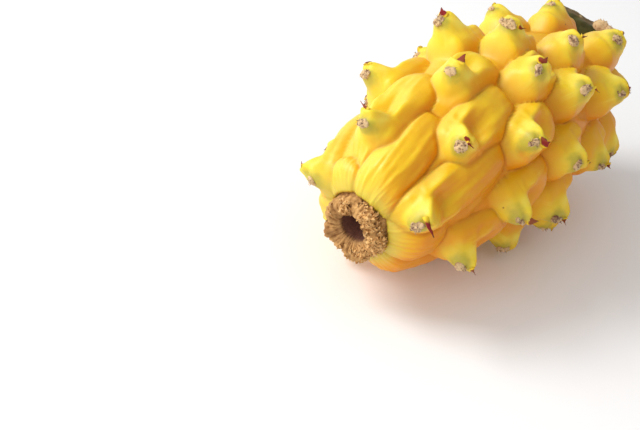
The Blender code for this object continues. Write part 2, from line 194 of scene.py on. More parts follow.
class Amount:
    """A number in a node tree that ordinary arithmetic works on, with one Math node a step."""

    def __init__(self, socket):
        self.socket = socket

    def step(self, operation, *others):
        feeds = dict(enumerate((self, *others)))
        return Amount(add_node(self.socket, "ShaderNodeMath", feeds, operation=operation).outputs[0])

    __add__ = __radd__ = partialmethod(step, "ADD")
    __sub__ = partialmethod(step, "SUBTRACT")
    __mul__ = __rmul__ = partialmethod(step, "MULTIPLY")
    __truediv__ = partialmethod(step, "DIVIDE")
    __pow__ = partialmethod(step, "POWER")
    least = partialmethod(step, "MINIMUM")
    most = partialmethod(step, "MAXIMUM")
    size = partialmethod(step, "ABSOLUTE")
    root = partialmethod(step, "SQRT")
    sine = partialmethod(step, "SINE")
    cosine = partialmethod(step, "COSINE")
    above = partialmethod(step, "GREATER_THAN")
    below = partialmethod(step, "LESS_THAN")

    def __rsub__(self, other):
        return self * -1.0 + other

    def held(self):
        """The number kept between 0 and 1."""
        return self.most(0.0).least(1.0)

    def bell(self):
        """1 where the number is 0, falling off to both sides as a bell."""
        return (self * self * -1.0).step("EXPONENT")

    def ease(self, low, high):
        """A smooth rise from 0 to 1 as the number goes from low to high."""
        ramp = add_node(self.socket, "ShaderNodeMapRange", {0: self, 1: low, 2: high},
                        interpolation_type="SMOOTHSTEP")
        return Amount(ramp.outputs[0])


def join(value, slot):
    """Feed a socket from an amount, from another socket or with a plain value."""
    if isinstance(value, Amount):
        value = value.socket
    if isinstance(value, bpy.types.NodeSocket):
        slot.id_data.links.new(value, slot)
    else:
        slot.default_value = value


def add_node(near, kind, feeds=None, **settings):
    """A new node in the given tree, or in the tree that the given socket belongs to."""
    made = near.id_data.nodes.new(kind)
    for setting, value in settings.items():
        setattr(made, setting, value)
    for slot, value in (feeds or {}).items():
        join(value, made.inputs[slot])
    return made


def parts_of(vector):
    split = add_node(vector, "ShaderNodeSeparateXYZ", {0: vector})
    return [Amount(out) for out in split.outputs]


def packed(x, y, z):
    return add_node(x.socket, "ShaderNodeCombineXYZ", {0: x, 1: y, 2: z}).outputs[0]


def scaled(vector, amount):
    made = add_node(vector, "ShaderNodeVectorMath", {0: vector, "Scale": amount}, operation="SCALE")
    return made.outputs[0]


def likeness(one, two):
    """How far two directions agree: 1 when they are the same, -1 when they are opposite."""
    made = add_node(one, "ShaderNodeVectorMath", {0: one, 1: two}, operation="DOT_PRODUCT")
    return Amount(made.outputs["Value"])


def noise(where, scale, detail=2.0, roughness=0.5):
    feeds = {"Vector": where, "Scale": scale, "Detail": detail, "Roughness": roughness}
    return Amount(add_node(where, "ShaderNodeTexNoise", feeds).outputs["Fac"])


def named(tree, label, kind="FLOAT_VECTOR"):
    return add_node(tree, "GeometryNodeInputNamedAttribute", {"Name": label}, data_type=kind).outputs[0]


def stored(geometry, label, value, kind="FLOAT", domain="POINT"):
    feeds = {"Geometry": geometry, "Name": label, "Value": value}
    kept = add_node(geometry, "GeometryNodeStoreNamedAttribute", feeds, data_type=kind, domain=domain)
    return kept.outputs[0]


def own_place(tree):
    return add_node(tree, "GeometryNodeInputPosition").outputs[0]


def own_facing(tree):
    return add_node(tree, "GeometryNodeInputNormal").outputs[0]


def moved(geometry, how, vector):
    """A geometry with its points moved: to a new 'Position', or by an 'Offset'."""
    return add_node(geometry, "GeometryNodeSetPosition", {0: geometry, how: vector}).outputs[0]


def open_socket(tree, label, kind, way="INPUT"):
    tree.interface.new_socket(label, in_out=way, socket_type="NodeSocket" + kind)


def build_tree(grow, sizes, material):
    """A geometry tree with a named input for each size, and the material on the shapes it grows."""
    kinds = {int: "Int", float: "Float", tuple: "Vector"}
    tree = bpy.data.node_groups.new(grow.__name__, "GeometryNodeTree")
    open_socket(tree, "Geometry", "Geometry", "OUTPUT")
    open_socket(tree, "Geometry", "Geometry")
    for label, value in sizes.items():
        open_socket(tree, label, kinds.get(type(value), type(value).__name__))
    given = {out.name: out for out in add_node(tree, "NodeGroupInput").outputs}
    for label, value in sizes.items():
        if type(value) in (int, float):
            given[label] = Amount(given[label])
    whole = add_node(tree, "GeometryNodeJoinGeometry")
    for shape in grow(tree, given):
        join(shape, whole.inputs[0])
    real = add_node(tree, "GeometryNodeRealizeInstances", {0: whole.outputs[0]})
    covered = add_node(tree, "GeometryNodeSetMaterial", {0: real.outputs[0], "Material": material})
    add_node(tree, "NodeGroupOutput", {0: covered.outputs[0]})
    return tree


def grow_piece(name, base, grow, sizes, material):
    """Run a tree on a base mesh, and keep the result as a plain mesh."""
    tree = build_tree(grow, sizes, material)
    piece = new_piece(name, base)
    live = piece.modifiers.new(tree.name, "NODES")
    live.node_group = tree
    for item in tree.interface.items_tree:
        if item.in_out == "INPUT" and item.name in sizes:
            live[item.identifier] = sizes[item.name]
    seen = piece.evaluated_get(bpy.context.evaluated_depsgraph_get())
    plain = bpy.data.meshes.new_from_object(seen)
    piece.modifiers.remove(live)
    piece.data = plain
    plain.name = name
    plain.shade_smooth()
    return piece


def tubercle_height(points, number, along, angle, radius, sizes):
    """What one tubercle adds at every point: its height, its lean, and the place on it."""
    place, pillow, nose, keel, wall = (
        parts_of(add_node(points, "GeometryNodeSampleIndex", {
            "Geometry": points, "Value": named(points, label), "Index": number},
            data_type="FLOAT_VECTOR").outputs[0])
        for label in ("place", "pillow", "nose", "keel", "wall"))
    u = along - place[0]
    turn = angle - place[1] - sizes["Twist"] * u
    turn = turn.step("WRAP", math.pi, -math.pi)
    v = radius * turn + place[2] * u
    far = v.size()
    leaf = (((u + keel[0]) / (keel[0] + sizes["Full Behind"])).held() * (math.pi / 2)).sine()
    back = (u / pillow[0]).held()
    drop = ((back - sizes["Drop Start"]) / (1.0 - sizes["Drop Start"])).held() ** 4.0
    taper = leaf.most(0.01) ** sizes["Keel Taper"] * (1.0 - drop * 0.35).root()
    bulge, crown = PILLOW_SECTION
    across = (1.0 - (v / (pillow[1] * taper)).size() ** bulge).most(0.0) ** crown
    fall = (1.0 - back * sizes["Back Fall"]) * (1.0 - drop).root()
    rise = leaf ** sizes["Keel Rise"] * wall[0] + u.ease(wall[1], wall[2]) * (1.0 - wall[0])
    body = pillow[2] * rise * fall * across
    ahead = (u - sizes["Nose Behind"]).least(0.0) / sizes["Nose Front"]
    behind = (u - sizes["Nose Behind"]).most(0.0) / sizes["Nose Back"]
    aside = v / nose[1]
    reach = (ahead * ahead + behind * behind + aside * aside).root()
    tip = nose[0] * (1.0 - reach.ease(sizes["Nose Flat"], 1.0))
    wing = ((far - WING_ASIDE - u * WING_SPREAD) / sizes["Wing Width"]).bell()
    wing = wing * u.ease(*WING_RISES) * (1.0 - u.ease(*WING_ENDS)) * sizes["Wing Height"]
    past = u - sizes["Crest Behind"] - far * sizes["Crest Sweep"]
    steep = past.above(0.0) * (sizes["Crest Back"] - sizes["Crest Front"]) + sizes["Crest Front"]
    crest = (past / steep).bell() * (1.0 - far.ease(*CREST_ENDS)) * sizes["Crest Height"]
    saddle = ((u - SADDLE_BEHIND) / SADDLE_SIZE[0]).bell() * (v / SADDLE_SIZE[1]).bell()
    ridge = wing.most(crest) - saddle * sizes["Saddle Depth"]
    hollow = (v / (HOLLOW_HALF_WIDTH + u * HOLLOW_SPREAD).most(0.001)).bell() * u.ease(*HOLLOW_RISES)
    hollow = hollow * (1.0 - u.ease(*HOLLOW_ENDS) * 0.75) * (1.0 - back.ease(0.5, 0.95))
    height = body + tip + (ridge - hollow * sizes["Hollow Depth"]) * keel[2]
    pad = (u * u + v * v).root() + (1.0 - keel[2])
    return height, nose[2] * tip, packed(u, v, keel[1]), pad


def add_up_tubercles(tree, mesh, points, lay, given):
    """Go through the tubercles one at a time, and store on the mesh what they make together."""
    count = add_node(tree, "GeometryNodeAttributeDomainSize", {0: points}, component="MESH")
    first = add_node(tree, "GeometryNodeRepeatInput")
    last = add_node(tree, "GeometryNodeRepeatOutput")
    first.pair_with_output(last)
    join(count.outputs["Point Count"], first.inputs["Iterations"])
    join(mesh, first.inputs["Geometry"])
    relief = parts_of(named(tree, "relief"))
    height, lean, place, pad = tubercle_height(points, first.outputs["Iteration"], *lay, given)
    highest = relief[0].step("SMOOTH_MAX", height, given["Crease Blend"])
    second = relief[0].least(height).most(relief[1])
    nearer = add_node(tree, "ShaderNodeMix", {
        0: height.above(relief[0]), 4: named(tree, "tile"), 5: place}, data_type="VECTOR")
    nearest = Amount(named(tree, "pad", "FLOAT")).least(pad)
    loop = stored(first.outputs["Geometry"], "tile", nearer.outputs[1], "FLOAT_VECTOR")
    loop = stored(loop, "pad", nearest)
    merged = packed(highest, second, relief[2].most(lean))
    join(stored(loop, "relief", merged, "FLOAT_VECTOR"), last.inputs["Geometry"])
    return last.outputs["Geometry"]


def creases(angle, run, grain, detail=2.0):
    """Creases that run on round the fruit without a seam: how far each spot is from one."""
    at = packed(angle.cosine() * grain[0], angle.sine() * grain[0], run * grain[1])
    return (noise(at, 1.0, detail) - 0.5).size()


def fine_relief(height, groove, tile, along, angle, given):
    """The tubercles' height with the fine ridges, the waves and the puckers round the flower."""
    streak_at = packed(tile[1] * STREAK_GRAIN[0], tile[0] * STREAK_GRAIN[1], tile[2] * 10.0)
    streak = noise(streak_at, 1.0) - 0.5
    streak = streak * tile[0].ease(0.001, 0.006) * (1.0 - groove)
    streak = streak * (1.15 - along.ease(0.02, 0.08) * 0.65)
    wave_at = packed(along * WAVE_GRAIN[1], angle.cosine() * WAVE_GRAIN[0], angle.sine() * WAVE_GRAIN[0])
    wave = noise(wave_at, 1.0, 3.0) - 0.5
    height = height + streak * given["Streak Height"] + wave * given["Wave Height"]
    height = height - groove * given["Groove Depth"]
    pinch = creases(angle, along, PINCH_GRAIN) * 2.0 - 0.25
    return height + pinch * given["Pinch Height"] * (1.0 - along.ease(0.004, 0.020))


def grow_peel(tree, given):
    rows, sides = given["Rows"], given["Sides"]
    # The grid has three rows more: the recess's edge, and a pole at either end.
    grid = add_node(tree, "GeometryNodeMeshGrid", {"Vertices X": rows + 3.0, "Vertices Y": sides + 1.0})
    index = Amount(add_node(tree, "GeometryNodeInputIndex").outputs[0])
    row = (index / (sides + 1.0) + 0.0001).step("FLOOR")
    column = index - row * (sides + 1.0)
    along = ((row - 2.0) / (rows - 1.0)).held() * given["Peel Length"]
    angle = column / sides * (2 * math.pi)
    profile = add_node(tree, "GeometryNodeMeshToCurve", {0: given["Geometry"]})
    sample = add_node(tree, "GeometryNodeSampleCurve", {
        "Curves": profile.outputs[0], "Length": along}, mode="LENGTH")
    centre_x, _, radius = parts_of(sample.outputs["Position"])
    lay = packed(along, angle, radius)
    mesh = stored(grid.outputs["Mesh"], "lay", lay, "FLOAT_VECTOR")
    mesh = stored(mesh, "peel_map", grid.outputs["UV Map"], "FLOAT2", "CORNER")
    mesh = stored(mesh, "relief", (0, 0, 0), "FLOAT_VECTOR")
    mesh = stored(mesh, "tile", (0, 0, 0), "FLOAT_VECTOR")
    mesh = stored(mesh, "pad", 1.0)
    points = add_node(tree, "GeometryNodeObjectInfo", {0: given["Growths"]}).outputs["Geometry"]
    lay = parts_of(named(tree, "lay"))
    mesh = add_up_tubercles(tree, mesh, points, lay, given)

    along, angle, radius = lay
    height, second, lean = parts_of(named(tree, "relief"))
    tile = parts_of(named(tree, "tile"))
    groove = ((height - second) / given["Groove Width"]).bell() * second.ease(0.0002, 0.0012)
    height = fine_relief(height, groove, tile, along, angle, given)
    fade = along.ease(0.0, 0.0075) * 0.5 + 0.5
    fade = fade * (1.0 - along.ease(peel_length - 0.010, peel_length - 0.002))
    forward_x, _, forward_radius = parts_of(sample.outputs["Tangent"])
    x = centre_x - fade * (forward_radius * height + forward_x * lean)
    radius = radius + fade * (forward_x * height - forward_radius * lean)
    in_recess = row.below(1.5)
    at_pole = row.below(0.5).most(row.above(rows + 1.5))
    x = x + in_recess * (given["Recess Depth"] - (x - CROWN_X))
    radius = (radius + in_recess * (CROWN_RADIUS - radius)) * (1.0 - at_pole)
    y, z = radius * angle.cosine(), radius * angle.sine()
    back = x.least(0.0)
    sag = given["Crown Droop"] / CROWN_X ** 2
    slope = (sag * back * -2.0).step("ARCTANGENT")
    drooped = packed(x - z * slope.sine(), y, z * slope.cosine() - sag * back * back)
    mesh = moved(stored(mesh, "groove", groove), "Position", drooped)
    laid = add_node(tree, "GeometryNodeTransform", {
        "Geometry": mesh, "Rotation": given["Rest Turn"], "Translation": given["Rest Centre"]})
    here = parts_of(own_place(tree))
    pressed = moved(laid.outputs[0], "Position", packed(here[0], here[1], here[2].most(0.0)))
    closed = add_node(tree, "GeometryNodeMergeByDistance", {"Geometry": pressed, "Distance": 0.000002})
    outward = add_node(tree, "GeometryNodeFlipFaces", {"Mesh": closed.outputs[0]})
    # How far the peel faces the key light, kept only to paint light and shade into the peel's colour.
    sun = likeness(own_facing(tree), given["Painted Light Way"])
    return [stored(outward.outputs[0], "sun", sun)]


def build_mottle():
    """The mottling of every tissue here, as a node group: soft patches with finer ones in them."""
    group = bpy.data.node_groups.new("mottle", "ShaderNodeTree")
    open_socket(group, "Place", "Vector")
    for label in ("Scale", "Detail", "Roughness"):
        open_socket(group, label, "Float")
    open_socket(group, "Patch", "Float", "OUTPUT")
    given = add_node(group, "NodeGroupInput").outputs
    patch = noise(given["Place"], given["Scale"], given["Detail"], given["Roughness"])
    add_node(group, "NodeGroupOutput", {"Patch": patch})
    return group


mottle = build_mottle()


def mottled(place, scale, detail=2.0, roughness=0.5):
    """How far each spot lies in a patch of the tissue's mottling."""
    feeds = {"Place": place, "Scale": scale, "Detail": detail, "Roughness": roughness}
    return Amount(add_node(place, "ShaderNodeGroup", feeds, node_tree=mottle).outputs["Patch"])


def read_amount(tree, label):
    return Amount(add_node(tree, "ShaderNodeAttribute", attribute_name=label).outputs["Fac"])


def read_parts(tree, label):
    return parts_of(add_node(tree, "ShaderNodeAttribute", attribute_name=label).outputs["Vector"])


def tinted(colour, *tints):
    """A colour with other colours laid over it in turn, each by its own share."""
    for share, tint in tints:
        mixed = add_node(share.socket, "ShaderNodeMix", {0: share}, data_type="RGBA")
        for slot, value in ((6, colour), (7, tint)):
            join((*value, 1.0) if isinstance(value, tuple) else value, mixed.inputs[slot])
        colour = mixed.outputs[2]
    return colour


def new_material(tissue):
    """The material of a tissue, whose function gives what goes to the shader's sockets."""
    material = bpy.data.materials.new(tissue.__name__)
    material.use_nodes = True
    tree = material.node_tree
    place = add_node(tree, "ShaderNodeTexCoord").outputs["Object"]
    for label, value in tissue(tree, place).items():
        join(value, tree.nodes["Principled BSDF"].inputs[label])
    return material


def waxy_peel(tree, place):
    """Ripe yellow peel: soft wax over flesh, green round each felt pad, with painted orange and brown
    shade in the creases and away from the key light, and painted highlights on the ridges and the lit
    side.
    """
    height = read_parts(tree, "relief")[0]
    along = read_parts(tree, "lay")[0]
    behind, aside, number = read_parts(tree, "tile")
    groove, pad, sun = (read_amount(tree, label) for label in ("groove", "pad", "sun"))
    broad = mottled(place, 42.0, 3.0, 0.55)
    cloud = mottled(place, 130.0, 3.0, 0.6)
    fine = mottled(place, 900.0)
    streak = noise(packed(aside * 700.0, behind * 60.0, number * 10.0), 1.0, 3.0, 0.6)
    # Painted shade: the peel turns orange in the low ground, in the grooves and on the side turned from
    # the key light, with random mottling laid over it.
    low_ground_shade = 1.0 - height.ease(0.0015, 0.0095)
    orange = low_ground_shade * 0.45 + groove * 0.20 + (broad - 0.5) * 0.8
    orange = (orange + 0.71 - sun.ease(-0.65, 0.80) * 0.80).held()
    # Painted shade: brown in the grooves and, more faintly, over the low ground.
    crease_shade = (groove * 0.55).most(low_ground_shade * 0.22)
    # Painted highlight: pale streaks on the high tops and a pale line along each wing crest, with random
    # pale patches from the mottling.
    edge = ((aside.size() - WING_ASIDE - behind * WING_SPREAD) / 0.0010).bell()
    edge = edge * behind.ease(0.0000, 0.0022) * (1.0 - behind.ease(0.005, 0.011))
    pale = (streak.ease(0.52, 0.74) * height.ease(0.003, 0.008) * 0.5 + (cloud - 0.55) * 0.5).held()
    pale = pale.most(edge * height.ease(0.006, 0.009) * 0.75)
    ring = (1.0 - (pad + (cloud - 0.5) * 0.003).ease(0.0018, 0.0050)) * 0.55
    rim = (1.0 - (pad + (cloud - 0.5) * 0.0036).ease(0.0012, 0.0027)) * 0.62
    collar = (1.0 - (along + (cloud - 0.5) * 0.006).ease(0.0006, 0.0050)) * 0.62
    blush = mottled(place, 75.0).ease(0.68, 0.80) * 0.5
    cells = add_node(tree, "ShaderNodeTexVoronoi", {"Vector": place, "Scale": 260.0})
    speck = 1.0 - Amount(cells.outputs["Distance"]).ease(0.04, 0.10)
    speck = speck * parts_of(cells.outputs["Color"])[0].above(0.86) * 0.75
    # The cream laid where the peel faces the key light is painted light; the orange and brown layers
    # before it are partly painted shade.
    colour = tinted(
        LEMON, (orange, ORANGE_MOTTLE_AND_SHADE), (crease_shade, PAINTED_CREASE_SHADE), (pale, PALE_PATCH_AND_HIGHLIGHT),
        (sun.ease(0.62, 1.00) * 0.34, PAINTED_LIT_SIDE), (ring, PAD_GREEN), (rim, RIM_OLIVE),
        (collar, COLLAR_GREEN), (blush, BLUSH_RED), (speck, SPECK_BROWN))
    grain = fine * 0.25 + cloud * 0.5 + streak * 0.45
    bump = add_node(tree, "ShaderNodeBump", {"Strength": 0.22, "Distance": 0.0006, "Height": grain})
    return {
        "Base Color": colour, "Normal": bump.outputs[0],
        "Roughness": 0.46 + (cloud - 0.5) * 0.18 + groove * 0.12 + ring * 0.15,
        "Subsurface Weight": 0.28, "Subsurface Radius": (1.0, 0.42, 0.08), "Subsurface Scale": 0.004,
        "Coat Weight": 0.14, "Coat Roughness": 0.30, "Specular IOR Level": 0.28}


profile_mesh = bpy.data.meshes.new("peel_profile")
profile_mesh.from_pydata(
    [(x, 0, r) for x, r in zip(profile_x, profile_radius)],
    [(k, k + 1) for k in range(len(profile_x) - 1)], [])
growths = new_piece("growths", loose_points("growths", tubercles))
peel_sizes = {
    "Growths": growths, "Rows": SKIN_ROWS, "Sides": SKIN_SIDES, "Peel Length": peel_length,
    "Twist": math.radians(-250), "Full Behind": 0.004, "Keel Taper": 1.25, "Keel Rise": 1.2,
    "Back Fall": 0.20, "Drop Start": 0.35,
    "Nose Front": 0.0056, "Nose Back": 0.0062, "Nose Flat": 0.30, "Nose Behind": 0.0018,
    "Crest Behind": 0.0024, "Crest Sweep": 0.45, "Crest Front": 0.0008, "Crest Back": 0.0016,
    "Crest Height": 0.0017, "Saddle Depth": 0.0010, "Wing Height": 0.0012, "Wing Width": 0.0011,
    "Hollow Depth": 0.0014, "Crease Blend": 0.0013, "Groove Width": 0.0008, "Groove Depth": 0.0007,
    "Streak Height": 0.0014, "Pinch Height": 0.0010, "Wave Height": 0.0012,
    "Recess Depth": RECESS_DEPTH, "Crown Droop": CROWN_DROOP, "Rest Turn": REST_TURN,
    # The last way on the next line points to the key light; it serves only to paint light and shade into
    # the peel's colour.
    "Rest Centre": REST_CENTRE, "Painted Light Way": (-0.50, 0.60, 0.62),
}
peel = grow_piece("peel", profile_mesh, grow_peel, peel_sizes, new_material(waxy_peel))
bpy.data.objects.remove(growths)
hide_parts("fruit")
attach(peel, "root")

# The felt pads: an areole of short woolly down on every nose, cream where it is fresh and dark brown
# where it has matted. Each is a low patch of felt, with curled tufts of the down rooted in it.
PAD_RADIUS = 0.0018
PAD_RISE = 0.0007
PAD_SINK = 0.0002
BARE_AT_STEM = 0.005
NOSE_CLEAR = 0.0015
PAD_SEED = 12
TONE_SEED = 77
# How far chance changes a pad's length, turn, width and age.
PAD_SPREAD = (0.20, math.pi, 0.18, 0.3)
# The pads that show: tubercle, length and width against the usual, turn, and how dark with age.
PAD_STYLES = {
    -2: (1.15, 0.85, 0.2, 0.55), 3: (1.05, 0.95, 0.0, 0.35), 11: (0.90, 0.65, 0.1, 0.50),
    8: (0.95, 0.70, 1.5, 0.10), 0: (0.95, 0.75, 1.5, 0.20), 16: (1.05, 0.60, 0.7, 0.50),
    24: (0.95, 0.75, 0.0, 0.40), 21: (1.60, 0.75, 1.5, -0.10),
}
MATTED_BROWN = (0.180, 0.066, 0.034)
FRESH_CREAM = (0.68, 0.47, 0.24)


def read_vectors(source, label):
    values = np.empty(len(source) * 3)
    source.foreach_get(label, values)
    return values.reshape(-1, 3)


peel_points = read_vectors(peel.data.vertices, "co")
peel_normals = read_vectors(peel.data.vertices, "normal")
peel_lay = read_vectors(peel.data.attributes["lay"].data, "vector")


def peel_spot(along, angle, around=30):
    """A place on the finished peel, and the direction in which the peel faces there."""
    turn = (peel_lay[:, 1] - angle + math.pi) % (2 * math.pi) - math.pi
    off = np.hypot(peel_lay[:, 0] - along, turn * peel_lay[:, 2])
    near = np.argsort(off)[:around]
    facing = Vector(peel_normals[near].sum(axis=0)).normalized()
    return Vector(peel_points[near[:4]].mean(axis=0)), facing


noses = []
for growth in tubercles:
    along, angle, _ = growth["place"]
    if growth["index"] < FIRST_NOSE or along > peel_length - BARE_AT_STEM:
        continue
    spot, facing = peel_spot(along, angle)
    if spot.z < NOSE_CLEAR:
        continue
    sternward = (peel_spot(along + 0.003, angle)[0] - spot).normalized()
    noses.append((growth, spot, facing, sternward))


def stood_on_points(tree, points, thing):
    """A thing on every point: its Z along 'facing', its X along 'forward', its size from 'stretch'."""
    axes = {0: named(tree, "facing"), 1: named(tree, "forward")}
    turned = add_node(tree, "FunctionNodeAxesToRotation", axes, primary_axis="Z", secondary_axis="X")
    standing = add_node(tree, "GeometryNodeInstanceOnPoints", {
        "Points": points, "Instance": thing, "Rotation": turned.outputs[0],
        "Scale": named(tree, "stretch")})
    return add_node(tree, "GeometryNodeRealizeInstances", {0: standing.outputs[0]}).outputs[0]


def scattered(tree, mesh, thing, density, seed, selection, tilt, low, high):
    """Small things scattered over a surface, each turned, sized and toned by chance."""
    spots = add_node(tree, "GeometryNodeDistributePointsOnFaces", {
        "Mesh": mesh, "Selection": selection, "Density": density, "Seed": seed})
    lean = add_node(tree, "FunctionNodeRandomValue", {
        0: (-tilt, -tilt, -math.pi), 1: (tilt, tilt, math.pi), "Seed": seed}, data_type="FLOAT_VECTOR")
    turned = add_node(tree, "FunctionNodeRotateRotation", {
        0: spots.outputs["Rotation"], 1: lean.outputs[0]}, rotation_space="LOCAL")
    scale, tone = (
        add_node(tree, "FunctionNodeRandomValue", {2: least, 3: most, "Seed": start}, data_type="FLOAT")
        for least, most, start in ((low, high, seed), (0.0, 1.0, TONE_SEED)))
    grown = add_node(tree, "GeometryNodeInstanceOnPoints", {
        "Points": spots.outputs["Points"], "Instance": thing, "Rotation": turned.outputs[0],
        "Scale": scale.outputs[1]})
    return stored(grown.outputs[0], "tone", tone.outputs[1], "FLOAT", "INSTANCE")


def shoot(tree, sides, steps, tip):
    """A tapered closed rod, 1 long, that stands on its root, and where its points are."""
    rod = add_node(tree, "GeometryNodeMeshCone", {
        "Vertices": sides, "Side Segments": steps, "Radius Top": tip, "Radius Bottom": 1.0, "Depth": 1.0})
    return rod.outputs[0], *parts_of(own_place(tree))


def tuft(tree, length, thickness, bend=0.9):
    """A curled tuft of down, which bends over as it rises."""
    rod, x, y, z = shoot(tree, 5, 3, 0.2)
    bent = packed(x * thickness + z * z * bend * length, y * thickness, z * length)
    return moved(rod, "Position", bent)


def grow_felt_pads(tree, given):
    dome = add_node(tree, "GeometryNodeMeshIcoSphere", {"Radius": 1.0, "Subdivisions": 4})
    pads = stood_on_points(tree, given["Geometry"], dome.outputs[0])
    here, facing = own_place(tree), own_facing(tree)
    lump = noise(here, 900.0, 3.0, 0.65) - 0.45
    ragged = noise(here, 330.0, 1.0) - 0.55
    push = scaled(facing, (lump + ragged * 1.4) * given["Lump"] * 2.0)
    rough = stored(moved(pads, "Offset", push), "tone", lump * 1.8 + 0.5)
    bald = noise(here, 520.0, 1.0)
    on_top = likeness(facing, named(tree, "facing")).above(0.30) * bald.above(0.44)
    thing = tuft(tree, given["Tuft Length"], given["Tuft Thickness"])
    tufts = scattered(tree, rough, thing, given["Tufts"], given["Seed"], on_top,
                      tilt=1.45, low=0.5, high=1.2)
    return tufts, rough


def areole_felt(tree, place):
    """Matted plant down: dry and dull, cream, mauve-brown where it is old and thin."""
    patch = mottled(place, 480.0, 2.0, 0.6)
    age = read_parts(tree, "age")[0]
    fresh = (read_amount(tree, "tone") * 0.80 + patch * 0.9 - age * 0.40).ease(0.44, 0.84)
    return {"Base Color": tinted(MATTED_BROWN, (fresh, FRESH_CREAM)), "Roughness": 0.92,
            "Sheen Weight": 0.25}


pad_chance = np.random.default_rng(PAD_SEED)
pad_places = []
for growth, spot, facing, sternward in noses:
    draw = pad_chance.uniform(-1, 1, 4) * PAD_SPREAD
    length = 1 + draw[0]
    usual = (length, length * (0.74 + draw[2]), draw[1], 0.45 + draw[3])
    length, width, turn, age = PAD_STYLES.get(growth["index"], usual)
    pad_places.append({
        "spot": spot - facing * PAD_SINK, "facing": facing,
        "forward": Matrix.Rotation(turn, 3, facing) @ sternward,
        "stretch": (PAD_RADIUS * length, PAD_RADIUS * width, PAD_RISE), "age": (age, 0, 0)})
pad_points = loose_points("pad_points", pad_places)
felt = new_material(areole_felt)
felt_sizes = {"Lump": 0.0007, "Tuft Length": 0.0006, "Tuft Thickness": 0.00014, "Tufts": 5e6, "Seed": 3}
felt_pads = grow_piece("felt_pads", pad_points, grow_felt_pads, felt_sizes, felt)
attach(felt_pads, "root")

# The bracts: small pointed scales beside each pad, all that is left of its leaves. They have dried to
# dark maroon or brown and curled, each its own way, and their fleshy roots stand in the peel.
BRACT_LENGTH = 0.0031
BRACT_HALF_WIDTH = 0.0011
BRACT_HALF_THICKNESS = 0.0003
BRACT_BEHIND = 0.0030
BRACT_SINK = 0.0007
BRACT_SEED = 31
# How far chance moves a bract aside, turns it outward and aside, and changes its length and width.
BRACT_SPREAD = (0.0008, 0.2, 0.7, 0.15, 0.2)
PEEL_RADIUS = 0.030
# The bracts that show: tubercle, how far behind and beside the pad's middle, the way it points
# (outward, towards the stem, aside), and its length and width against the usual.
BRACT_STYLES = (
    (0, 0.0034, 0.0006, (0.35, 0.0, 1.0), 1.35, 0.65), (8, 0.0032, -0.0004, (0.85, 0.1, 0.3), 0.85, 1.05),
    (-2, 0.0016, 0.0006, (0.5, 0.0, -0.9), 1.75, 0.90), (3, 0.0018, 0.0003, (0.8, -0.1, 0.5), 0.62, 0.9),
    (3, 0.0017, -0.0008, (0.6, -0.2, -0.8), 0.70, 0.8), (11, 0.0024, -0.0008, (0.9, -0.2, 0.2), 0.62, 1.3),
    (16, 0.0020, 0.0008, (0.7, -0.1, -0.2), 0.62, 1.2), (24, 0.0032, -0.0010, (0.4, 0.1, -0.9), 1.0, 0.6),
    (21, 0.0018, -0.0024, (0.5, 0.1, -0.7), 0.65, 1.0), (13, 0.0018, 0.0, (1.0, -0.1, 0.2), 0.75, 1.1),
    (27, 0.0024, 0.0, (0.7, 0.0, -0.5), 0.7, 0.8), (14, 0.0022, 0.0, (0.8, 0.0, -0.4), 0.7, 0.8),
    (6, 0.0026, 0.0, (0.8, 0.0, 0.3), 0.8, 1.0), (1, 0.0026, 0.0, (0.8, 0.1, -0.3), 0.7, 0.9),
)
DARK_MAROON = (0.260, 0.014, 0.014)
DRY_BROWN = (0.24, 0.060, 0.018)
TIP_BROWN = (0.09, 0.030, 0.014)
FLESH_YELLOW = (0.84, 0.58, 0.030)


def grow_bracts(tree, given):
    rod, x, y, z = shoot(tree, 12, 9, 0.12)
    flesh = (1.0 - z).held() ** 3.0
    belly = 1.0 + (z * math.pi).sine() * 0.35
    thick = x * given["Half Thickness"] * (belly + flesh * 2.4)
    wide = y * given["Half Width"] * (belly + flesh * 0.4)
    turn = z * given["Curl"]
    bent = packed(thick * turn.cosine() - wide * turn.sine() + z * z * given["Length"] * 0.35,
                  thick * turn.sine() + wide * turn.cosine(), z * given["Length"] - BRACT_SINK)
    scale = moved(stored(rod, "tip", z), "Position", bent)
    whole = stood_on_points(tree, given["Geometry"], scale)
    shrink = add_node(tree, "ShaderNodeTexNoise", {"Vector": own_place(tree), "Scale": 520.0})
    centred = add_node(tree, "ShaderNodeVectorMath", {
        0: shrink.outputs["Color"], 1: (0.5, 0.5, 0.5)}, operation="SUBTRACT")
    return [moved(whole, "Offset", scaled(centred.outputs[0], given["Shrivel"]))]


def dried_scale(tree, place):
    """A dried scale: maroon or brown, darker at the tip, with yellow flesh still at the root."""
    tip = read_amount(tree, "tip")
    brown = mottled(place, 90.0).ease(0.42, 0.58)
    flesh = 1.0 - (tip + (mottled(place, 700.0, 2.0, 0.6) - 0.5) * 0.25).ease(0.13, 0.27)
    colour = tinted(DARK_MAROON, (brown, DRY_BROWN), (tip.ease(0.80, 1.0) * 0.6, TIP_BROWN),
                    (flesh, FLESH_YELLOW))
    return {"Base Color": colour, "Roughness": 0.6, "Specular IOR Level": 0.25}


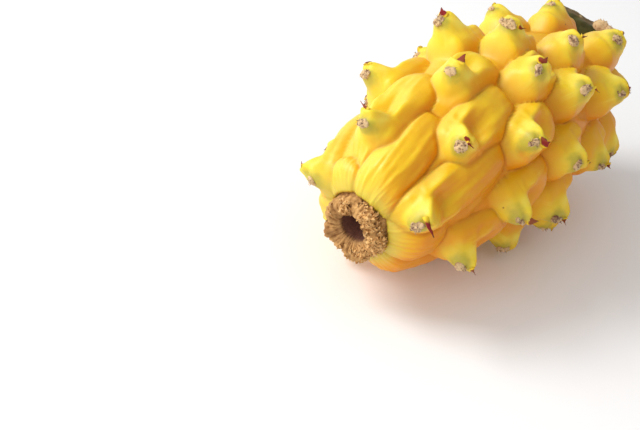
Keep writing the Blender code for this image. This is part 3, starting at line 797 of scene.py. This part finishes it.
bract_chance = np.random.default_rng(BRACT_SEED)
bract_places = []
for growth, spot, facing, sternward in noses:
    draw = bract_chance.uniform(-1, 1, 5) * BRACT_SPREAD
    usual = (BRACT_BEHIND, draw[0], (0.6 + draw[1], 0.3, draw[2]), 0.50 + draw[3], 0.9 + draw[4])
    styles = [row[1:] for row in BRACT_STYLES if row[0] == growth["index"]] or [usual]
    for behind, beside, way, length, width in styles:
        along, angle, _ = growth["place"]
        root, out = peel_spot(along + behind, angle - beside / PEEL_RADIUS, 12)
        aside = out.cross(sternward).normalized()
        rising = (out * way[0] + sternward * way[1] + aside * way[2]).normalized()
        bract_places.append({"spot": root, "facing": rising, "forward": sternward,
                             "stretch": (width, width, length)})
bract_sizes = {"Length": BRACT_LENGTH, "Half Width": BRACT_HALF_WIDTH,
               "Half Thickness": BRACT_HALF_THICKNESS, "Curl": 0.9, "Shrivel": 0.0010}
bract_points = loose_points("bract_points", bract_places)
bracts = grow_piece("bracts", bract_points, grow_bracts, bract_sizes, new_material(dried_scale))
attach(bracts, "root")

# The dried crown: what is left of the flower, a crumpled ring of papery fibre round a blind hollow. It
# sits in the peel's recess. The ring is turned from its section, folded, and dried flakes curl off it.
GAP = 0.0003
RING_LENGTH = 0.0058
RING_MOUTH_RADIUS = 0.0043
RING_FLOOR = 0.0022
# Waves round the ring: how many, where they start, and how large they are.
RING_LOBES = ((1, 1.3, 0.0009), (2, 2.05, 0.0006), (5, 2.4, 0.0005), (6, -2.2, 0.00045))
RING_FRAYS = ((1, -2.1, 0.0008), (7, 0.0, 0.0005), (11, 1.2, 0.0003))
RING_SIDES = 260
RING_ROWS = 150
FOLD_GRAIN = (3.0, 280.0)
PLEAT_GRAIN = (7.5, 90.0)
FOLD_UMBER = (0.220, 0.085, 0.018)
FIBRE_TAN = (0.68, 0.38, 0.130)
FLAKE_TAN = (0.80, 0.55, 0.27)
HOLLOW_MAROON = (0.120, 0.036, 0.026)

REST = (Matrix.Translation(REST_CENTRE) @ Matrix.Rotation(REST_TURN[1], 4, "Y")
        @ Matrix.Rotation(REST_TURN[0], 4, "X"))


def droop(x, y, z):
    """Bend the flower end down as the peel does, and lay the point in the resting place."""
    back = min(x, 0.0)
    sag = CROWN_DROOP / CROWN_X ** 2
    slope = math.atan(-2 * sag * back)
    return REST @ Vector((x - z * math.sin(slope), y, z * math.cos(slope) - sag * back ** 2))


def turned_ring():
    """The ring's closed skin, from the plug in the recess over the ragged lip to the hollow's floor."""
    mouth = CROWN_X - RING_LENGTH
    plug = CROWN_RADIUS - GAP
    floor = CROWN_X + RECESS_DEPTH - GAP
    # Along X, radius, how lobed, how far it is free of the recess, how far down the hollow.
    outline = np.array((
        (floor, 0.0001, 0, 0, 0), (floor, plug - 0.0006, 0, 0, 0), (floor - 0.0006, plug, 0, 0, 0),
        (CROWN_X - 0.0002, plug, 0, 0, 0), (CROWN_X - 0.0020, 0.0089, 0.15, 0.5, 0),
        (CROWN_X - 0.0034, 0.0091, 0.5, 1, 0), (mouth + 0.0010, 0.0092, 1, 1, 0),
        (mouth + 0.0001, 0.0080, 1, 1, 0), (mouth + 0.0003, 0.0060, 0.5, 1, 0.1),
        (mouth + 0.0011, 0.0047, 0.1, 1, 0.4), (mouth + 0.0026, RING_MOUTH_RADIUS, 0, 0.6, 1),
        (CROWN_X + RING_FLOOR, 0.0030, 0, 0.3, 1), (CROWN_X + RING_FLOOR, 0.0001, 0, 0.3, 1)))
    run = np.concatenate([[0], np.cumsum(np.hypot(*np.diff(outline[:, :2], axis=0).T))])
    even = np.linspace(0, run[-1], RING_ROWS)
    x, radius, rough, free, inside = (np.interp(even, run, outline[:, k]) for k in range(5))
    angle = np.linspace(0, 2 * math.pi, RING_SIDES, endpoint=False)
    lobes, frays = (sum(size * np.cos(count * angle + start) for count, start, size in waves)
                    for waves in (RING_LOBES, RING_FRAYS))
    points, lay, share = [], [], []
    for row in range(RING_ROWS):
        for side in range(RING_SIDES):
            wavy = radius[row] + rough[row] * lobes[side]
            points.append(droop(x[row] + rough[row] * frays[side], wavy * math.cos(angle[side]),
                                wavy * math.sin(angle[side])))
            lay.append((even[row], angle[side], wavy))
            share.append((free[row], inside[row], rough[row]))
    last = (RING_ROWS - 1) * RING_SIDES
    faces = [tuple(range(RING_SIDES)), tuple(range(last, last + RING_SIDES))[::-1]]
    for row in range(0, last, RING_SIDES):
        for side in range(RING_SIDES):
            a, b = row + side, row + (side + 1) % RING_SIDES
            faces.append((b, a, a + RING_SIDES, b + RING_SIDES))
    mesh = bpy.data.meshes.new("crown_ring")
    mesh.from_pydata([tuple(p) for p in points], [], faces)
    mark_points(mesh, "lay", lay)
    mark_points(mesh, "share", share)
    work = bmesh.new()
    work.from_mesh(mesh)
    bmesh.ops.recalc_face_normals(work, faces=work.faces)
    work.to_mesh(mesh)
    work.free()
    return mesh


def flake(tree, length, width, thickness):
    """A thin dried flake, broad in the middle, that curls over as it rises; 'tip' runs up it."""
    rod, x, y, z = shoot(tree, 8, 6, 0.35)
    bend = z * 1.9
    out = (1.0 - bend.cosine()) * length * 0.5
    bent = packed(out + x * thickness, y * width * (0.7 + (z * 3.0).sine() * 0.6),
                  bend.sine() * length * 0.5)
    return moved(stored(rod, "tip", z), "Position", bent)


def crumple_crown(tree, given):
    run, angle, _ = parts_of(named(tree, "lay"))
    free, inside, _ = parts_of(named(tree, "share"))
    here = own_place(tree)
    fold = 0.25 - creases(angle, run, FOLD_GRAIN) * 2.0
    pleat = 0.16 - creases(angle, run, PLEAT_GRAIN, 1.0) * 1.6
    grain = noise(here, 1100.0, 3.0, 0.6) - 0.5
    push = fold * given["Fold Depth"] + pleat * given["Pleat Depth"] + grain * given["Grain"]
    push = push * free * (1.0 - inside * 0.7)
    side = (angle - given["Crumbly Side"]).cosine()
    folded = moved(given["Geometry"], "Offset", scaled(own_facing(tree), push))
    tone = noise(here, 350.0, 2.0, 0.6)
    for label, value in (("depth", push), ("inside", inside), ("tone", tone), ("side", side)):
        folded = stored(folded, label, value)
    crumbly = (noise(here, 300.0, 2.0, 0.6) + side * 0.17).above(0.53)
    crumbly = crumbly * free.above(0.7) * inside.below(0.2)
    thing = flake(tree, given["Flake Length"], given["Flake Width"], given["Flake Thickness"])
    flakes = scattered(tree, folded, thing, given["Flakes"], given["Seed"], crumbly,
                       tilt=0.9, low=0.45, high=1.25)
    return flakes, folded


def dry_fibre(tree, place):
    """Dried flower tissue: papery tan with pale rims, umber in the folds, maroon down the hollow."""
    depth, inside, tone, tip, side = (
        read_amount(tree, label) for label in ("depth", "inside", "tone", "tip", "side"))
    patch = mottled(place, 420.0, 3.0, 0.6)
    high = depth * 800.0 + 0.40 + (tone - 0.5) * 0.5 + (patch - 0.5) * 1.1
    high = (high + tip * 0.3 + side.ease(-1.0, 1.0) * 0.35 - 0.22).held()
    colour = tinted(FOLD_UMBER, (high, FIBRE_TAN), (tip.ease(0.55, 1.0) * 0.5, FLAKE_TAN),
                    (inside.ease(0.1, 0.9) * 0.9, HOLLOW_MAROON))
    bump = add_node(tree, "ShaderNodeBump", {"Strength": 0.5, "Distance": 0.0005, "Height": patch})
    return {"Base Color": colour, "Roughness": 0.9, "Normal": bump.outputs[0]}


crown_sizes = {"Fold Depth": 0.0018, "Pleat Depth": 0.0022, "Grain": 0.0006, "Flake Length": 0.0014,
               "Flake Width": 0.00045, "Flake Thickness": 0.00012, "Flakes": 2.4e6,
               "Crumbly Side": math.radians(170), "Seed": 5}
dried_crown = grow_piece("dried_flower", turned_ring(), crumple_crown, crown_sizes,
                         new_material(dry_fibre))
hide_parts("dried_crown")
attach(dried_crown, "root")

# The stem scrap: a flap of the plant's flat-sided green stem that the fruit was cut off with. It stands
# across the stem end on a short neck, three-cornered, torn to a point and dried to tan along its edge.
SCRAP_X = 0.0706
SCRAP_LEAN = 0.03
# From the bottom up: height, both edges along Y, and thickness. The top edge starts at the shoulder.
SCRAP_LEVELS = (
    (-0.0044, -0.0016, 0.0016, 0.0022), (-0.0032, -0.0036, 0.0034, 0.0036),
    (0.0010, -0.0050, 0.0052, 0.0040), (0.0060, -0.0062, 0.0068, 0.0038),
    (0.0100, -0.0068, 0.0083, 0.0034), (0.0128, -0.0070, 0.0098, 0.0030),
    (0.0144, -0.0060, 0.0108, 0.0026), (0.0158, 0.0022, 0.0118, 0.0022),
    (0.0172, 0.0060, 0.0127, 0.0020), (0.0180, 0.0105, 0.0132, 0.0016),
    (0.0183, 0.0124, 0.0133, 0.0010))
SCRAP_SHOULDER = 5
SCRAP_ROWS = 150
SCRAP_SIDES = 96
EDGE_REACH = 0.0009
NECK_ROWS = ((STEM_X + GAP, 0.0030), (STEM_X + 0.0010, 0.0034), (0.0712, 0.0030))
NECK_RINGS = 14
NECK_SIDES = 36
NECK_WORN = 0.3
DARK_OLIVE = (0.036, 0.040, 0.008)
STEM_OLIVE = (0.070, 0.078, 0.018)
WORN_UMBER = (0.120, 0.062, 0.016)
TORN_TAN = (0.40, 0.29, 0.13)


def closed_loft(rings, worn):
    """A closed skin over a row of rings, with how worn each ring's points are."""
    work = bmesh.new()
    wear = work.verts.layers.float.new("worn")
    rows = []
    for ring, shares in zip(rings, worn):
        rows.append([work.verts.new(point) for point in ring])
        for vert, share in zip(rows[-1], shares):
            vert[wear] = share
    for one, two in zip(rows[:-1], rows[1:]):
        for k in range(len(one)):
            nxt = (k + 1) % len(one)
            work.faces.new((one[k], one[nxt], two[nxt], two[k]))
    for end in (rows[0], rows[-1]):
        pole = work.verts.new(sum((v.co for v in end), Vector()) / len(end))
        pole[wear] = end[0][wear]
        for k in range(len(end)):
            work.faces.new((end[k], end[(k + 1) % len(end)], pole))
    bmesh.ops.recalc_face_normals(work, faces=work.faces)
    return work


def scrap_rings():
    """The flap's rings from the bottom up, and how near each of their points is to the torn edge."""
    levels = np.array(SCRAP_LEVELS)
    shoulder = levels[SCRAP_SHOULDER:]
    turns = np.linspace(0, 2 * math.pi, SCRAP_SIDES, endpoint=False)
    rings, worn = [], []
    for z in np.linspace(levels[0, 0], levels[-1, 0], SCRAP_ROWS):
        low, high, thick = (np.interp(z, levels[:, 0], levels[:, k]) for k in (1, 2, 3))
        ring, shares = [], []
        for turn in turns:
            y = (low + high) / 2 + (high - low) / 2 * math.cos(turn)
            top = np.interp(y, shoulder[:, 1], shoulder[:, 0])
            near = min(high - y, y - low + 0.0004, top - z)
            bulge = math.copysign(abs(math.sin(turn)) ** 0.4, math.sin(turn))
            ring.append(REST @ Vector((SCRAP_X + SCRAP_LEAN * z + thick / 2 * bulge, y, z)))
            shares.append(1 - min(max(near / EDGE_REACH, 0), 1))
        rings.append(ring)
        worn.append(shares)
    return rings, worn


def neck_rings():
    rings = []
    rows = np.array(NECK_ROWS)
    for part in np.linspace(0, 2, NECK_RINGS):
        x, radius = (np.interp(part, (0, 1, 2), rows[:, k]) for k in (0, 1))
        rings.append([REST @ Vector((x, radius * math.cos(turn), radius * math.sin(turn)))
                      for turn in np.linspace(0, 2 * math.pi, NECK_SIDES, endpoint=False)])
    return rings, [[NECK_WORN] * NECK_SIDES] * NECK_RINGS


def scrap_base():
    mesh = bpy.data.meshes.new("scrap_base")
    for part in (scrap_rings(), neck_rings()):
        work = closed_loft(*part)
        work.from_mesh(mesh)
        work.to_mesh(mesh)
        work.free()
    return mesh


def roughen_scrap(tree, given):
    here = own_place(tree)
    wave = noise(here, 180.0, 3.0, 0.55) - 0.5
    fray = noise(here, 900.0, 2.0, 0.6) - 0.5
    worn = Amount(named(tree, "worn", "FLOAT"))
    push = wave * given["Waviness"] + fray * worn * given["Fray"]
    return [moved(given["Geometry"], "Offset", scaled(own_facing(tree), push))]


def stem_skin(tree, place):
    """Tough green stem skin, waxy and dark olive, dried to tan and umber along its torn edge."""
    worn = read_amount(tree, "worn")
    patch = mottled(place, 260.0, 3.0, 0.6)
    fibre = mottled(place, 1100.0, 2.0, 0.6)
    umber = (worn + patch - 0.5).ease(0.10, 0.75) * 0.7
    dried = (worn + (fibre - 0.5) * 0.7 + (patch - 0.5) * 1.6).ease(0.98, 1.22)
    colour = tinted(DARK_OLIVE, (patch.ease(0.35, 0.65), STEM_OLIVE), (umber, WORN_UMBER),
                    (dried, TORN_TAN))
    return {"Base Color": colour, "Roughness": 0.55}


scrap_sizes = {"Waviness": 0.0008, "Fray": 0.0008}
stem_scrap = grow_piece("cut_stem", scrap_base(), roughen_scrap, scrap_sizes, new_material(stem_skin))
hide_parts("stem_scrap")
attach(stem_scrap, "root")

# The stem's own areole: two knobs of cream felt at the corner of the scrap where it was cut, made like
# the fruit's felt pads and rooted in the flap's edge.
KNOBS = ((0.0708, -0.0034, 0.0150, 0.0027), (0.0707, -0.0064, 0.0141, 0.0021))
KNOB_FACING = Vector((-0.5, -0.2, 0.85)).normalized()
KNOB_AGE = -0.6

knob_places = []
for x, y, z, radius in KNOBS:
    knob_places.append({"spot": REST @ Vector((x, y, z)), "facing": KNOB_FACING, "forward": (0, 1, 0),
                        "stretch": (radius, radius * 0.8, radius * 0.7), "age": (KNOB_AGE, 0, 0)})
knob_points = loose_points("knob_points", knob_places)
knob_sizes = {"Lump": 0.0005, "Tuft Length": 0.0005, "Tuft Thickness": 0.00016, "Tufts": 2.5e6, "Seed": 3}
stem_areole = grow_piece("stem_areole", knob_points, grow_felt_pads, knob_sizes, felt)
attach(stem_areole, "root")

# The floor: one pale matt sheet that the fruit lies on. It runs on past every edge of the picture, so
# that no horizon shows.
FLOOR_REACH = 6.0
floor_mesh = bpy.data.meshes.new("studio_floor")
floor_corners = [(x * FLOOR_REACH, y * FLOOR_REACH, 0) for x, y in ((-1, -1), (1, -1), (1, 1), (-1, 1))]
floor_mesh.from_pydata(floor_corners, [], [(0, 1, 2, 3)])
floor = new_piece("studio_floor", floor_mesh)
floor_finish = bpy.data.materials.new("pale_floor")
floor_finish.use_nodes = True
floor_surface = floor_finish.node_tree.nodes["Principled BSDF"]
floor_surface.inputs["Base Color"].default_value = (0.95, 0.95, 0.95, 1.0)
floor_surface.inputs["Roughness"].default_value = 0.9
floor_mesh.materials.append(floor_finish)

# The camera: it stands at the photograph's viewing angle, close above the flower end, with a lens that
# gives the photograph's perspective.
CAMERA_PLACE = Vector((-0.26257, -0.1293, 0.1891))
CAMERA_FORWARD = Vector((0.6756, 0.4769, -0.5622))
CAMERA_UP = Vector((0.3631, 0.4484, 0.8168))
camera_data = bpy.data.cameras.new("camera")
camera_data.lens = 60
camera_data.sensor_width = 36
camera_data.clip_start = 0.01
camera = new_piece("camera", camera_data)
right = CAMERA_FORWARD.cross(CAMERA_UP).normalized()
above = right.cross(CAMERA_FORWARD).normalized()
turned = Matrix((right, above, -CAMERA_FORWARD.normalized())).transposed()
camera.matrix_world = Matrix.Translation(CAMERA_PLACE) @ turned.to_4x4()
bpy.context.scene.camera = camera

# The light: a soft studio key from the upper left behind the fruit, a wide weak fill from the flower
# end, and a pale surround.
SURROUND_STRENGTH = 0.56


def soft_light(name, place, size, power):
    lamp = bpy.data.lights.new(name, "AREA")
    lamp.size = size
    lamp.energy = power
    holder = new_piece(name, lamp)
    holder.location = place
    holder.rotation_euler = (-Vector(place)).to_track_quat("-Z", "Y").to_euler()


soft_light("key_light", (-0.42, 0.62, 0.70), 0.45, 7.3)
soft_light("fill_light", (-0.95, 0.15, 0.35), 0.8, 3.4)
surround = bpy.data.worlds.new("pale_surround")
surround.use_nodes = True
background = surround.node_tree.nodes["Background"]
background.inputs["Color"].default_value = (1.0, 1.0, 1.0, 1.0)
background.inputs["Strength"].default_value = SURROUND_STRENGTH
bpy.context.scene.world = surround
bpy.context.scene.view_settings.view_transform = "Standard"
